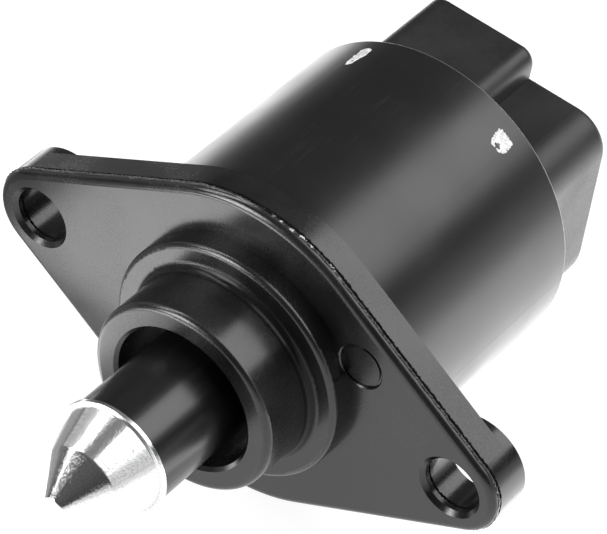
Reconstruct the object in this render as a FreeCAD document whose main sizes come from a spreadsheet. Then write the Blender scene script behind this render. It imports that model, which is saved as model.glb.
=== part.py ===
import FreeCAD, Part
import math
import os
import re

import Sketcher

# Idle air control valve: a small stepping motor that slides a pintle in and out of an air seat.
# Millimetres. The origin is the centre of the flange's front mounting face. The motor's axis is Y,
# with the pintle pointing to -Y and the plug socket to +Y. The two screw ears lie along X, +Z is up.

document = FreeCAD.newDocument("idle_air_control_valve")

# Driving sizes
SIZES = [
    # Flange plate
    ("hole_spacing", 50.0, "distance between the two screw holes"),
    ("hole_radius", 3.0, "screw clearance hole"),
    ("hole_lead", 0.45, "chamfer at the mouth of a screw hole"),
    ("ear_radius", 5.1, "rounded end of an ear"),
    ("ear_boss_height", 1.1, "boss behind each ear, under the screw head"),
    ("lobe_radius", 17.95, "round middle of the flange"),
    ("plate_thickness", 4.0, "flange plate"),
    ("rim_round", 0.8, "rounding of the flange's front rim"),
    ("parting_line", 0.9, "mould's parting line round the flange, from its front face"),
    ("parting_bevel", 0.15, "small bevel behind that line"),
    ("mark_radius", 2.4, "round mould mark in the flange face"),
    ("mark_sink", 0.12, "mark's disc, below the flange face"),
    ("mark_groove", 0.3, "width of the groove round that disc"),
    ("mark_depth", 0.3, "depth of that groove"),
    ("mark_side", 13.2, "mould mark, sideways from the axis"),
    ("mark_height", 7.65, "mould mark, above the axis"),
    # Nose of the housing
    ("collar_radius", 13.1, "locating collar on the flange face"),
    ("collar_height", 2.4, "locating collar, front to flange face"),
    ("collar_round", 0.6, "rounding of the collar's front edge"),
    ("spigot_radius", 10.4, "spigot that enters the air passage"),
    ("spigot_length", 9.05, "spigot, front to flange face"),
    ("spigot_round", 0.7, "rounding of the spigot's front edge"),
    ("root_round", 0.9, "fillet where the spigot meets the collar"),
    ("bore_radius", 7.75, "open mouth round the plunger"),
    ("bore_depth", 4.5, "depth of that mouth"),
    ("bore_lead", 0.35, "chamfer at the mouth"),
    # Rear barrel of the housing, inside the can
    ("barrel_wall", 2.6, "outer wall of the barrel, under the seal"),
    ("guide_wall", 1.7, "wall of the guide tube, outside its key slots"),
    ("core_floor", 1.0, "plastic left in front of the cored-out ring"),
    ("rib_count", 6, "ribs across the cored-out ring"),
    ("rib_width", 1.4, "thickness of such a rib"),
    ("seal_thickness", 1.56, "section of the seal ring"),
    ("seal_setback", 1.3, "flange plate to the seal's groove"),
    ("seal_play", 0.39, "free width beside the seal in its groove"),
    # Can
    ("can_radius", 17.2, "outside of the motor can"),
    ("can_wall", 0.8, "sheet of the can"),
    ("can_length", 26.4, "can, behind the flange plate"),
    ("stake_setback", 2.9, "stake marks, from the can's rear edge"),
    ("stake_radius", 0.95, "punch that makes a stake mark"),
    ("stake_depth", 0.45, "depth of a stake mark"),
    ("stake_angle", 60.0, "stake marks, up and down from the line of the ears"),
    # Plunger
    ("travel", 8.0, "stroke of the pintle"),
    ("plunger_radius", 5.9, "outside of the plunger"),
    ("plunger_reach", 18.9, "front end of the plunger, from the flange face"),
    ("plunger_tail", 1.0, "rear end of the plunger, behind the flange face"),
    ("plunger_chamber", 2.9, "hollow round the screw"),
    ("key_width", 2.4, "key on the plunger"),
    ("key_length", 2.0, "key, along the axis"),
    ("key_reach", 7.2, "key, from the axis outward"),
    ("key_gap", 0.1, "play at the sides and end of a key"),
    ("stop_gap", 0.3, "play at the end of the stroke"),
    ("slide_gap", 0.06, "play of the plunger in its guide"),
    # Pintle tip
    ("lip_radius", 6.35, "lip of the metal tip"),
    ("lip_thickness", 0.45, "lip, along the axis"),
    ("cone_base", 5.75, "widest radius of the cone"),
    ("cone_shoulder", 4.2, "radius where the cone gets steeper"),
    ("shoulder_reach", 23.7, "that shoulder, from the flange face"),
    ("cone_end", 1.15, "blunt end of the cone"),
    ("tip_reach", 27.75, "end of the cone, from the flange face"),
    ("lip_groove", 0.12, "turned groove between lip and cone"),
    ("stem_radius", 1.6, "stem of the tip, pressed into the plunger"),
    ("stem_length", 3.0, "that stem, along the axis"),
    # Drive screw and nut
    ("screw_radius", 2.4, "threaded front of the screw"),
    ("screw_room", 0.7, "free space in front of the screw with the pintle fully in"),
    ("screw_lead", 0.3, "chamfer at the screw's front end"),
    ("thread_gap", 0.06, "play between screw and nut"),
    ("nut_radius", 4.2, "brass nut in the plunger"),
    ("nut_length", 7.0, "that nut, along the axis"),
    ("nut_groove", 0.4, "retaining groove round the nut"),
    ("journal_radius", 2.5, "screw in the ball bearing"),
    ("tail_radius", 1.5, "thin rear end of the screw"),
    # Ball bearing
    ("bearing_radius", 6.5, "outside of the ball bearing"),
    ("bearing_width", 4.0, "ball bearing, along the axis"),
    ("outer_ring_wall", 1.3, "outer ring"),
    ("inner_ring_wall", 1.1, "inner ring"),
    ("ball_radius", 1.05, "balls"),
    ("ball_count", 7, "balls in the bearing"),
    ("race_gap", 0.03, "play of a ball in its race"),
    ("cage_wall", 0.7, "cage between the balls"),
    ("cage_width", 2.9, "cage, along the axis"),
    ("pocket_gap", 0.1, "play of a ball in the cage"),
    ("washer_thickness", 0.35, "spring washer in front of the bearing"),
    # Front end plate
    ("sheet", 0.8, "steel sheet of end plate and pole plates"),
    ("lip_hole", 5.0, "hole in front of the bearing"),
    # Rotor
    ("rotor_radius", 10.2, "outside of the magnet ring"),
    ("magnet_wall", 1.9, "magnet ring"),
    ("rotor_gap", 0.9, "free space in front of and behind the rotor"),
    ("hub_wall", 1.6, "walls of the moulded hub"),
    ("bearing_shoulder", 0.9, "hub's collar against the inner ring, along the axis"),
    # Stator
    ("air_gap", 0.4, "between magnet and pole claws"),
    ("pole_claws", 6, "claws on each pole plate"),
    ("claw_root", 4.4, "width of a claw at its root"),
    ("claw_end", 2.2, "width of a claw at its end"),
    ("claw_clearance", 0.7, "end of a claw to the opposite plate"),
    ("bobbin_width", 6.6, "coil former, along the axis"),
    ("bobbin_wall", 0.65, "walls of the coil former"),
    ("winding_setback", 0.89, "copper, below the former's rim"),
    # Rear cover and plug socket
    ("cover_recess", 0.4, "rear face of the cover, inside the can's edge"),
    ("bush_radius", 3.5, "sintered rear bush"),
    ("bush_length", 2.6, "that bush, along the axis"),
    ("bush_gap", 0.03, "play of the screw's tail in the bush"),
    ("socket_reach", 11.4, "plug socket, behind the can's edge"),
    ("socket_left", 9.45, "socket, from the axis to -X"),
    ("socket_right", 13.1, "socket, from the axis to +X, at its top"),
    ("socket_flare", 0.7, "what the right side gains from top to bottom"),
    ("socket_top", 10.6, "socket, above the axis"),
    ("socket_bottom", 12.9, "socket, below the axis"),
    ("socket_corner", 4.1, "rounded upper corner of the socket"),
    ("socket_low_corner", 6.3, "rounded lower corners of the socket"),
    ("socket_rim", 0.8, "rounding round the socket's mouth"),
    ("socket_wall", 1.8, "walls of the socket"),
    ("socket_depth", 9.6, "plug socket, mouth to floor"),
    ("key_box_width", 12.75, "raised channel on the socket, along X"),
    ("key_box_height", 3.4, "raised channel, above the socket's top"),
    ("key_box_round", 1.8, "edges of the raised channel"),
    # Contact blades
    ("blade_width", 2.8, "contact blade, along X"),
    ("blade_thickness", 0.8, "contact blade, along Z"),
    ("blade_pitch_side", 6.6, "blades, centre to centre along X"),
    ("blade_pitch_up", 5.6, "blades, centre to centre along Z"),
    ("blade_reach", 7.6, "blade, out of the socket's floor"),
    ("blade_root", 3.0, "blade, through the cover"),
    ("blade_taper", 0.8, "tapered end of a blade"),
    # Fits
    ("seat_gap", 0.02, "pressed and moulded seats inside one body"),
]

# Places that follow from the sizes, along the axis (front is negative) or out from it
PLACES = [
    ("can_bore", "can_radius - can_wall"),
    ("barrel_radius", "can_bore - seat_gap"),
    ("housing_rear", "plunger_tail + travel + stop_gap"),
    ("bore_floor", "bore_depth - spigot_length"),
    ("guide_bore", "plunger_radius + slide_gap"),
    ("guide_radius", "key_reach + key_gap + guide_wall"),
    ("core_outer", "barrel_radius - seal_thickness - barrel_wall"),
    ("groove_front", "plate_thickness + seal_setback"),
    ("groove_back", "groove_front + seal_thickness + seal_play"),
    ("groove_floor", "can_bore - seal_thickness - seat_gap"),
    ("slot_front", "plunger_tail - key_length - stop_gap"),
    ("can_rear", "plate_thickness + can_length"),
    ("plate_rear", "housing_rear + sheet"),
    ("bearing_front", "plate_rear + washer_thickness"),
    ("bearing_rear", "bearing_front + bearing_width"),
    ("bearing_middle", "bearing_front + bearing_width / 2"),
    ("inner_ring_radius", "journal_radius + inner_ring_wall"),
    ("outer_ring_bore", "bearing_radius - outer_ring_wall"),
    ("ball_circle", "(inner_ring_radius + outer_ring_bore) / 2"),
    ("boss_radius", "bearing_radius + seat_gap + sheet"),
    ("boss_rear", "bearing_rear - sheet / 2"),
    ("rotor_front", "plate_rear + rotor_gap"),
    ("hub_front", "bearing_rear + bearing_shoulder"),
    ("magnet_bore", "rotor_radius - magnet_wall"),
    ("claw_bore", "rotor_radius + air_gap"),
    ("bobbin_bore", "claw_bore + sheet + seat_gap"),
    ("bobbin_floor", "bobbin_bore + bobbin_wall"),
    ("winding_radius", "barrel_radius - seat_gap - winding_setback"),
    ("screw_reach", "plunger_reach - stem_length - travel - screw_room"),
    ("half_stack", "2 * sheet + bobbin_width"),
    ("stack_middle", "plate_rear + half_stack"),
    ("stack_rear", "plate_rear + 2 * half_stack"),
    ("rotor_rear", "stack_rear - rotor_gap"),
    ("cover_rear", "can_rear - cover_recess"),
    ("socket_rear", "can_rear + socket_reach"),
    ("socket_floor", "socket_rear - socket_depth"),
    ("key_box_right", "key_box_width - socket_left"),
    ("key_box_top", "socket_top + key_box_height"),
    ("tip_face", "plunger_reach + lip_thickness"),
    ("bush_floor", "stack_rear + bush_length"),
]

# Fill the sheets
sizes = document.addObject("Spreadsheet::Sheet", "Sizes")
for row, (alias, number, meaning) in enumerate(SIZES, start=1):
    sizes.set(f"A{row}", meaning)
    sizes.set(f"B{row}", str(number))
    sizes.setAlias(f"B{row}", alias)
document.recompute()
size_names = {alias for alias, number, meaning in SIZES}


def tied(rule):
    """The rule with each size's name written the way the document's objects read it."""
    def full(match):
        name = match.group(0)
        return ("Sizes." if name in size_names else "Places.") + name
    return re.sub(r"[a-z][a-z_]+", full, rule)


places = document.addObject("Spreadsheet::Sheet", "Places")
for row, (alias, rule) in enumerate(PLACES, start=1):
    places.set(f"A{row}", rule)
    places.set(f"B{row}", "=" + tied(rule).replace("Places.", ""))
    places.setAlias(f"B{row}", alias)
document.recompute()


def value(name):
    """The present number behind a size or place."""
    return float(getattr(sizes if name in size_names else places, name))


# Ways of making a piece
def new_body(label):
    """An empty body."""
    body = document.addObject("PartDesign::Body", label + "_body")
    body.Label = label + " body"
    return body


def new_sketch(body, name, role, lift=None):
    """A sketch on one of the body's own origin planes, lifted off it by a rule if one is given."""
    plane = next(item for item in body.Origin.OriginFeatures if item.Role == role)
    sketch = body.newObject("Sketcher::SketchObject", name)
    sketch.AttachmentSupport = [(plane, "")]
    sketch.MapMode = "FlatFace"
    if lift is not None:
        sketch.setExpression("AttachmentOffset.Base.z", tied(lift))
    return sketch


def draw_polygon(sketch, corners):
    """A closed outline of straight lines, with each corner's two coordinates tied to a rule."""
    count = len(corners)
    first = sketch.GeometryCount
    reach = value("can_radius")
    turns = [2 * math.pi * i / count for i in range(count)]
    start = [FreeCAD.Vector(reach * math.cos(turn), reach * math.sin(turn), 0) for turn in turns]
    lines = [Part.LineSegment(start[i], start[(i + 1) % count]) for i in range(count)]
    sketch.addGeometry(lines, False)
    joins = [
        Sketcher.Constraint("Coincident", first + i, 2, first + (i + 1) % count, 1)
        for i in range(count)
    ]
    sketch.addConstraint(joins)
    for i, corner in enumerate(corners):
        for kind, rule in zip(("DistanceX", "DistanceY"), corner):
            index = sketch.addConstraint(Sketcher.Constraint(kind, -1, 1, first + i, 1, 0.0))
            if rule != "0":
                sketch.setExpression(f"Constraints[{index}]", tied(rule))


def turned_body(label, corners):
    """A body of revolution about Y from corners given as (radius, place along Y)."""
    body = new_body(label)
    sketch = new_sketch(body, label + "_section", "XY_Plane")
    draw_polygon(sketch, corners)
    turn = body.newObject("PartDesign::Revolution", label + "_turned")
    turn.Profile = sketch
    turn.ReferenceAxis = (sketch, ["V_Axis"])
    document.recompute()
    return body


CLOSE = 0.01


def ring_edges(shape, radius, height):
    """Names of the round edges about Y with this radius, at this place along Y."""
    names = []
    for number, edge in enumerate(shape.Edges, start=1):
        if not isinstance(edge.Curve, Part.Circle):
            continue
        centre = edge.Curve.Center
        if math.hypot(centre.x, centre.z) > CLOSE:
            continue
        if abs(edge.Curve.Radius - radius) < CLOSE and abs(centre.y - height) < CLOSE:
            names.append(f"Edge{number}")
    return names


def soften(body, kind, name, edges, size):
    """A Fillet or Chamfer of the body's last feature, of a size tied to a rule."""
    last = body.Tip
    feature = body.newObject("PartDesign::" + kind, name)
    feature.Base = (last, edges)
    feature.setExpression("Radius" if kind == "Fillet" else "Size", tied(size))
    body.Tip = feature
    document.recompute()


def cylinder(name, radius, low, high, side="0", up="0"):
    """A cylinder parallel to Y between two places, its axis at X = side and Z = up."""
    solid = document.addObject("Part::Cylinder", name)
    solid.setExpression("Radius", tied(radius))
    solid.setExpression("Height", tied(f"({high}) - ({low})"))
    solid.Placement = FreeCAD.Placement(
        FreeCAD.Vector(0, 0, 0), FreeCAD.Rotation(FreeCAD.Vector(1, 0, 0), -90)
    )
    put(solid, side, low, up)
    return solid


def cone(name, low_radius, high_radius, low, high, side="0", up="0"):
    """A cone frustum parallel to Y between two places, its axis at X = side and Z = up."""
    solid = document.addObject("Part::Cone", name)
    solid.setExpression("Radius1", tied(low_radius))
    solid.setExpression("Radius2", tied(high_radius))
    solid.setExpression("Height", tied(f"({high}) - ({low})"))
    solid.Placement = FreeCAD.Placement(
        FreeCAD.Vector(0, 0, 0), FreeCAD.Rotation(FreeCAD.Vector(1, 0, 0), -90)
    )
    put(solid, side, low, up)
    return solid


def block(name, x_range, y_range, z_range):
    """A box between two rules along each axis."""
    solid = document.addObject("Part::Box", name)
    for side, (low, high) in zip(("Length", "Width", "Height"), (x_range, y_range, z_range)):
        solid.setExpression(side, tied(f"({high}) - ({low})"))
    put(solid, x_range[0], y_range[0], z_range[0])
    return solid


def put(item, side, along, up):
    """Ties the item's place to three rules."""
    for axis, rule in zip("xyz", (side, along, up)):
        if rule != "0":
            item.setExpression("Placement.Base." + axis, tied(rule))


def fuse(name, items):
    """One solid from several."""
    result = document.addObject("Part::MultiFuse", name)
    result.Shapes = items
    result.Refine = True
    document.recompute()
    return result


def cut(name, base, tools):
    """The base with every tool taken away from it."""
    tool = tools[0] if len(tools) == 1 else fuse(name + "_tools", tools)
    result = document.addObject("Part::Cut", name)
    result.Base = base
    result.Tool = tool
    result.Refine = True
    document.recompute()
    return result


def around_axis(item, angle):
    """Turns the item about Y, counted from +X towards +Z."""
    turn = FreeCAD.Placement(FreeCAD.Vector(0, 0, 0), FreeCAD.Rotation(FreeCAD.Vector(0, 1, 0), -angle))
    item.Placement = turn.multiply(item.Placement)
    return item


def radial_cylinder(name, radius, low, high, angle, along):
    """A cylinder that points out from the axis, between two distances from it, at a place along Y."""
    solid = document.addObject("Part::Cylinder", name)
    solid.setExpression("Radius", tied(radius))
    solid.setExpression("Height", tied(f"({high}) - ({low})"))
    outward = FreeCAD.Vector(math.cos(math.radians(angle)), 0, math.sin(math.radians(angle)))
    solid.Placement = FreeCAD.Placement(
        FreeCAD.Vector(0, 0, 0), FreeCAD.Rotation(FreeCAD.Vector(0, 0, 1), outward)
    )
    solid.setExpression("Placement.Base.x", tied(f"({low}) * {outward.x:.9f}"))
    solid.setExpression("Placement.Base.y", tied(along))
    solid.setExpression("Placement.Base.z", tied(f"({low}) * {outward.z:.9f}"))
    return solid


kept = {}


def keep(node, item):
    """Names a finished piece as one that is written out."""
    item.Label = node
    kept[node] = item
    return item


# Front housing: one black moulding. A flange with two screw ears carries the collar and spigot in
# front, and behind it a barrel that plugs into the can and guides the plunger.
def flange_slab(label, low, high, kind, size):
    """A slab with the flange's outline, a round lobe and two ears, and its front edges softened."""
    body = new_body(label)
    sketch = new_sketch(body, label + "_outline", "XZ_Plane", f"-({low})")
    reach = value("hole_spacing") / 2
    lobe = value("lobe_radius")
    ear = value("ear_radius")
    lean = math.asin((lobe - ear) / reach)
    up = math.pi / 2 - lean
    centre = FreeCAD.Vector(0, 0, 0)
    normal = FreeCAD.Vector(0, 0, 1)
    right = FreeCAD.Vector(reach, 0, 0)
    left = FreeCAD.Vector(-reach, 0, 0)

    def on_circle(middle, radius, angle):
        return middle + FreeCAD.Vector(radius * math.cos(angle), radius * math.sin(angle), 0)

    outline = [
        Part.ArcOfCircle(Part.Circle(right, normal, ear), -up, up),
        Part.LineSegment(on_circle(right, ear, up), on_circle(centre, lobe, up)),
        Part.ArcOfCircle(Part.Circle(centre, normal, lobe), up, math.pi - up),
        Part.LineSegment(on_circle(centre, lobe, math.pi - up), on_circle(left, ear, math.pi - up)),
        Part.ArcOfCircle(Part.Circle(left, normal, ear), math.pi - up, math.pi + up),
        Part.LineSegment(on_circle(left, ear, math.pi + up), on_circle(centre, lobe, math.pi + up)),
        Part.ArcOfCircle(Part.Circle(centre, normal, lobe), math.pi + up, 2 * math.pi - up),
        Part.LineSegment(on_circle(centre, lobe, -up), on_circle(right, ear, -up)),
    ]
    sketch.addGeometry(outline, False)
    arcs = (0, 2, 4, 6)
    for i in range(8):
        sketch.addConstraint(Sketcher.Constraint("Tangent", i, 2, (i + 1) % 8, 1))
    for arc in (2, 6):
        sketch.addConstraint(Sketcher.Constraint("Coincident", arc, 3, -1, 1))
    for arc in (0, 4):
        sketch.addConstraint(Sketcher.Constraint("PointOnObject", arc, 3, -1))
    for arc, rule in zip(arcs, ("ear_radius", "lobe_radius", "ear_radius", "lobe_radius")):
        index = sketch.addConstraint(Sketcher.Constraint("Radius", arc, value(rule)))
        sketch.setExpression(f"Constraints[{index}]", tied(rule))
    for arc, rule in ((0, "hole_spacing / 2"), (4, "-hole_spacing / 2")):
        start = reach if arc == 0 else -reach
        index = sketch.addConstraint(Sketcher.Constraint("DistanceX", -1, 1, arc, 3, start))
        sketch.setExpression(f"Constraints[{index}]", tied(rule))
    document.recompute()
    pad = body.newObject("PartDesign::Pad", label + "_pad")
    pad.Profile = sketch
    pad.Reversed = True
    pad.setExpression("Length", tied(f"({high}) - ({low})"))
    document.recompute()
    front = [
        f"Edge{number}" for number, edge in enumerate(pad.Shape.Edges, start=1)
        if edge.BoundBox.YMax - pad.Shape.BoundBox.YMin < CLOSE
    ]
    soften(body, kind, label + "_rim", front, size)
    return body


def flange_plate():
    """The flange plate: a rounded front, the mould's parting line, and the side wall behind it."""
    return fuse("flange_plate", [
        flange_slab("flange_front", "0", "parting_line", "Fillet", "rim_round"),
        flange_slab("flange_rear", "parting_line", "plate_thickness", "Chamfer", "parting_bevel"),
    ])


def housing_core():
    """The round part of the housing: spigot, collar, guide tube and barrel in one turned section."""
    body = turned_body("housing_core", [
        ("bore_radius", "-spigot_length"),
        ("spigot_radius", "-spigot_length"),
        ("spigot_radius", "-collar_height"),
        ("collar_radius", "-collar_height"),
        ("collar_radius", "plate_thickness / 2"),
        ("barrel_radius", "plate_thickness / 2"),
        ("barrel_radius", "groove_front"),
        ("groove_floor", "groove_front"),
        ("groove_floor", "groove_back"),
        ("barrel_radius", "groove_back"),
        ("barrel_radius", "housing_rear"),
        ("guide_bore", "housing_rear"),
        ("guide_bore", "bore_floor"),
        ("bore_radius", "bore_floor"),
    ])

    def edges(radius, place, sign=1):
        return ring_edges(body.Tip.Shape, value(radius), sign * value(place))

    soften(body, "Fillet", "spigot_edge", edges("spigot_radius", "spigot_length", -1), "spigot_round")
    soften(body, "Fillet", "collar_edge", edges("collar_radius", "collar_height", -1), "collar_round")
    soften(body, "Fillet", "spigot_root", edges("spigot_radius", "collar_height", -1), "root_round")
    soften(body, "Chamfer", "bore_mouth", edges("bore_radius", "spigot_length", -1), "bore_lead")
    soften(body, "Chamfer", "barrel_lead", edges("barrel_radius", "housing_rear"), "seal_thickness / 4")
    return body


def front_housing():
    """The whole moulding, with its holes, key slots, cored-out ring and mould mark."""
    bosses = [
        cylinder(f"ear_boss_{name}", "ear_radius", "plate_thickness / 2",
                 "plate_thickness + ear_boss_height", side)
        for name, side in (("right", "hole_spacing / 2"), ("left", "-hole_spacing / 2"))
    ]
    plate = cut("flange_ring", flange_plate(), [
        cylinder("flange_middle", "(guide_radius + collar_radius) / 2", "-sheet", "plate_thickness + sheet"),
    ])
    solid = fuse("housing_solid", [housing_core(), plate] + bosses)
    tools = []
    for name, side in (("right", "hole_spacing / 2"), ("left", "-hole_spacing / 2")):
        rear = "plate_thickness + ear_boss_height"
        tools.append(cylinder(f"screw_hole_{name}", "hole_radius", "-sheet", f"{rear} + sheet", side))
        tools.append(cone(f"screw_lead_{name}", "hole_radius + 2 * hole_lead", "hole_radius",
                          "-hole_lead", "hole_lead", side))
        tools.append(cone(f"screw_exit_{name}", "hole_radius", "hole_radius + 2 * hole_lead",
                          f"{rear} - hole_lead", f"{rear} + hole_lead", side))
    mark_place = ("mark_side", "mark_height")
    tools.append(cylinder("mark_pocket", "mark_radius", "-sheet", "mark_sink", *mark_place))
    tools.append(cone("mark_lead", "mark_radius + 2 * mark_sink", "mark_radius", "-mark_sink", "mark_sink",
                      *mark_place))
    mark_disc = cylinder("mark_disc", "mark_radius", "-sheet", "mark_depth", *mark_place)
    tools.append(cut("mark_ring", mark_disc, [
        cylinder("mark_inside", "mark_radius - mark_groove", "-2 * sheet", "2 * mark_depth", *mark_place),
    ]))
    tools.append(block(
        "key_slots",
        ("-key_reach - key_gap", "key_reach + key_gap"),
        ("slot_front", "housing_rear + sheet"),
        ("-key_width / 2 - key_gap", "key_width / 2 + key_gap"),
    ))
    ring = cut("core_ring", cylinder("core_wall", "core_outer", "plate_thickness + core_floor",
                                     "housing_rear + sheet"),
               [cylinder("core_guide", "guide_radius", "plate_thickness", "housing_rear + 2 * sheet")])
    ribs = []
    for index in range(int(value("rib_count")) // 2):
        rib = block(f"core_rib_{index + 1}", ("-can_radius", "can_radius"),
                    ("plate_thickness", "housing_rear + 2 * sheet"), ("-rib_width / 2", "rib_width / 2"))
        ribs.append(rib)
    document.recompute()
    turned_ribs = []
    for index, rib in enumerate(ribs):
        holder = document.addObject("Part::Compound", f"core_rib_turned_{index + 1}")
        holder.Links = [rib]
        turned_ribs.append(around_axis(holder, 360 * (index + 0.5) / value("rib_count")))
    tools.append(cut("core_pockets", ring, turned_ribs))
    return cut("front_housing", solid, tools)


keep("front_housing", front_housing())


# Seal ring: round rubber cord in the barrel's groove, against the inside of the can.
def seal_ring():
    """A rubber ring of round section."""
    ring = document.addObject("Part::Torus", "seal_ring")
    ring.setExpression("Radius1", tied("can_bore - seal_thickness / 2 - seat_gap / 2"))
    ring.setExpression("Radius2", tied("seal_thickness / 2"))
    ring.Placement = FreeCAD.Placement(
        FreeCAD.Vector(0, 0, 0), FreeCAD.Rotation(FreeCAD.Vector(1, 0, 0), -90)
    )
    put(ring, "0", "(groove_front + groove_back) / 2", "0")
    document.recompute()
    return ring


keep("seal_ring", seal_ring())


# Motor can: a drawn steel tube, blackened, staked into the rear cover at four points.
def stake_places():
    """The four stake marks' angles round the axis, alike on both sides of the line of the ears."""
    angle = value("stake_angle")
    return (angle, 180 - angle, 180 + angle, 360 - angle)


def motor_can():
    """The tube, with a dent outside and a bump inside at each stake."""
    tube = turned_body("can_tube", [
        ("can_bore", "plate_thickness"),
        ("can_radius", "plate_thickness"),
        ("can_radius", "can_rear"),
        ("can_bore", "can_rear"),
    ])
    rear = ring_edges(tube.Tip.Shape, value("can_radius"), value("can_rear"))
    soften(tube, "Fillet", "can_rim", rear, "can_wall / 4")
    bumps = []
    dents = []
    for index, angle in enumerate(stake_places(), start=1):
        bumps.append(radial_cylinder(f"stake_bump_{index}", "stake_radius", "can_bore - stake_depth",
                                     "can_radius - can_wall / 2", angle, "can_rear - stake_setback"))
        dents.append(radial_cylinder(f"stake_dent_{index}", "stake_radius - can_wall / 4",
                                     "can_radius - stake_depth", "can_radius + sheet", angle,
                                     "can_rear - stake_setback"))
    return cut("motor_can", fuse("can_staked", [tube] + bumps), dents)


keep("motor_can", motor_can())


# Front end plate: pressed steel, with a drawn boss that holds the ball bearing and its spring washer.
keep("front_end_plate", turned_body("front_end_plate", [
    ("lip_hole", "housing_rear"),
    ("barrel_radius", "housing_rear"),
    ("barrel_radius", "plate_rear"),
    ("boss_radius", "plate_rear"),
    ("boss_radius", "boss_rear"),
    ("bearing_radius + seat_gap", "boss_rear"),
    ("bearing_radius + seat_gap", "plate_rear"),
    ("lip_hole", "plate_rear"),
]))

keep("preload_washer", turned_body("preload_washer", [
    ("outer_ring_bore", "plate_rear"),
    ("bearing_radius", "plate_rear"),
    ("bearing_radius", "bearing_front"),
    ("outer_ring_bore", "bearing_front"),
]))


# Ball bearing: two grooved rings, balls and a cage.
def race_ring(node, inner, outer):
    """A ring with a round groove in which the balls run."""
    ring = turned_body(node, [
        (inner, "bearing_front"),
        (outer, "bearing_front"),
        (outer, "bearing_rear"),
        (inner, "bearing_rear"),
    ])
    race = document.addObject("Part::Torus", node + "_race")
    race.setExpression("Radius1", tied("ball_circle"))
    race.setExpression("Radius2", tied("ball_radius + race_gap"))
    race.Placement = FreeCAD.Placement(
        FreeCAD.Vector(0, 0, 0), FreeCAD.Rotation(FreeCAD.Vector(1, 0, 0), -90)
    )
    put(race, "0", "bearing_middle", "0")
    return keep(node, cut(node + "_grooved", ring, [race]))


def ball(index):
    """One ball on the ball circle."""
    angle = 2 * math.pi * index / value("ball_count")
    sphere = document.addObject("Part::Sphere", f"ball_{index + 1}")
    sphere.setExpression("Radius", tied("ball_radius"))
    sphere.setExpression("Placement.Base.x", tied(f"ball_circle * {math.cos(angle):.9f}"))
    sphere.setExpression("Placement.Base.y", tied("bearing_middle"))
    sphere.setExpression("Placement.Base.z", tied(f"ball_circle * {math.sin(angle):.9f}"))
    return sphere


race_ring("bearing_outer_ring", "outer_ring_bore", "bearing_radius")
race_ring("bearing_inner_ring", "journal_radius + seat_gap", "inner_ring_radius")
ball_numbers = range(int(value("ball_count")))
ball_set = document.addObject("Part::Compound", "ball_set")
ball_set.Links = [ball(index) for index in ball_numbers]
keep("bearing_balls", ball_set)
cage_ring = turned_body("cage_ring", [
    ("ball_circle - cage_wall / 2", "bearing_middle - cage_width / 2"),
    ("ball_circle + cage_wall / 2", "bearing_middle - cage_width / 2"),
    ("ball_circle + cage_wall / 2", "bearing_middle + cage_width / 2"),
    ("ball_circle - cage_wall / 2", "bearing_middle + cage_width / 2"),
])
keep("bearing_cage", cut("bearing_cage", cage_ring, [
    radial_cylinder(f"pocket_{index + 1}", "ball_radius + pocket_gap", "ball_circle - cage_wall",
                    "ball_circle + cage_wall", 360 * index / value("ball_count"), "bearing_middle")
    for index in ball_numbers
]))

# Drive screw: one turned steel shaft, with the lead screw in front, a journal in the ball bearing,
# a long seat for the hub and a thin tail in the rear bush.
keep("drive_screw", turned_body("drive_screw", [
    ("0", "-screw_reach"),
    ("screw_radius - screw_lead", "-screw_reach"),
    ("screw_radius", "screw_lead - screw_reach"),
    ("screw_radius", "bearing_front - sheet"),
    ("journal_radius", "bearing_front - sheet / 2"),
    ("journal_radius", "rotor_rear - rotor_gap"),
    ("tail_radius", "rotor_rear - rotor_gap"),
    ("tail_radius", "bush_floor - seat_gap - sheet / 2"),
    ("0", "bush_floor - seat_gap - sheet / 2"),
]))

# Rotor: a ferrite ring on a moulded hub.
magnet = turned_body("rotor_magnet", [
    ("magnet_bore", "rotor_front"),
    ("rotor_radius", "rotor_front"),
    ("rotor_radius", "rotor_rear"),
    ("magnet_bore", "rotor_rear"),
])
for magnet_end in ("rotor_front", "rotor_rear"):
    magnet_edges = ring_edges(magnet.Tip.Shape, value("rotor_radius"), value(magnet_end))
    soften(magnet, "Chamfer", magnet_end + "_edge", magnet_edges, "magnet_wall / 6")
keep("rotor_magnet", magnet)

keep("rotor_hub", turned_body("rotor_hub", [
    ("journal_radius + seat_gap", "bearing_rear + seat_gap"),
    ("inner_ring_radius - seat_gap", "bearing_rear + seat_gap"),
    ("inner_ring_radius - seat_gap", "hub_front"),
    ("magnet_bore - seat_gap", "hub_front"),
    ("magnet_bore - seat_gap", "rotor_rear"),
    ("magnet_bore - seat_gap - hub_wall", "rotor_rear"),
    ("magnet_bore - seat_gap - hub_wall", "hub_front + hub_wall"),
    ("journal_radius + seat_gap + hub_wall", "hub_front + hub_wall"),
    ("journal_radius + seat_gap + hub_wall", "rotor_rear - rotor_gap"),
    ("journal_radius + seat_gap", "rotor_rear - rotor_gap"),
]))


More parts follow.
